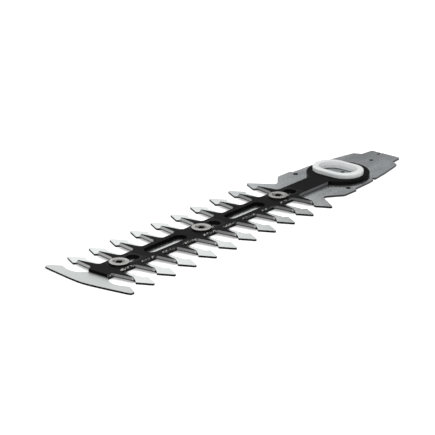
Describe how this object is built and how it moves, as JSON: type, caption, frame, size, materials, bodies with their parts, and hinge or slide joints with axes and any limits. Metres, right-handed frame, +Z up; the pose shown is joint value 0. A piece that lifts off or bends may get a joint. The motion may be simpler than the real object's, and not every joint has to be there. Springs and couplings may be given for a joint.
{
  "type": "hedge trimmer blade attachment",
  "caption": "Flat double-sided shrub-shear blade: a toothed blade slides on a toothed guard plate, driven through an oblong yoke.",
  "frame": {"origin": "centre of the bounding box, on the underside of the guard plate", "axes": "+X from the nose bar towards the tail, +Z up out of the guard plate's top face, +Y to the left of travel"},
  "size_m": [0.289, 0.066, 0.006],
  "materials": {
    "guard_plate": "bright ground sheet steel with a fine lengthwise grain",
    "moving_blade": "satin black low-friction coat, bare ground bevels on the teeth",
    "drive_yoke": "satin white moulded plastic",
    "guide_bush": "turned hardened steel",
    "slide_washer": "blackened steel",
    "disc_spring": "blackened spring steel",
    "clamp_screw": "zinc plated, slightly warm grey"
  },
  "bodies": {
    "guard": {"guard_plate": "guard_plate", "guide_bush_front": "guide_bush", "guide_bush_middle": "guide_bush", "guide_bush_rear": "guide_bush", "slide_washer_front": "slide_washer", "slide_washer_middle": "slide_washer", "slide_washer_rear": "slide_washer", "disc_spring_front": "disc_spring", "disc_spring_middle": "disc_spring", "disc_spring_rear": "disc_spring", "clamp_screw_front": "clamp_screw", "clamp_screw_middle": "clamp_screw", "clamp_screw_rear": "clamp_screw"},
    "blade": {"moving_blade": "moving_blade", "drive_yoke": "drive_yoke"}
  },
  "joints": [
    {"name": "blade_stroke", "type": "slide", "parent": "guard", "child": "blade", "axis": [-1, 0, 0], "range_m": [0, 0.0115]}
  ]
}
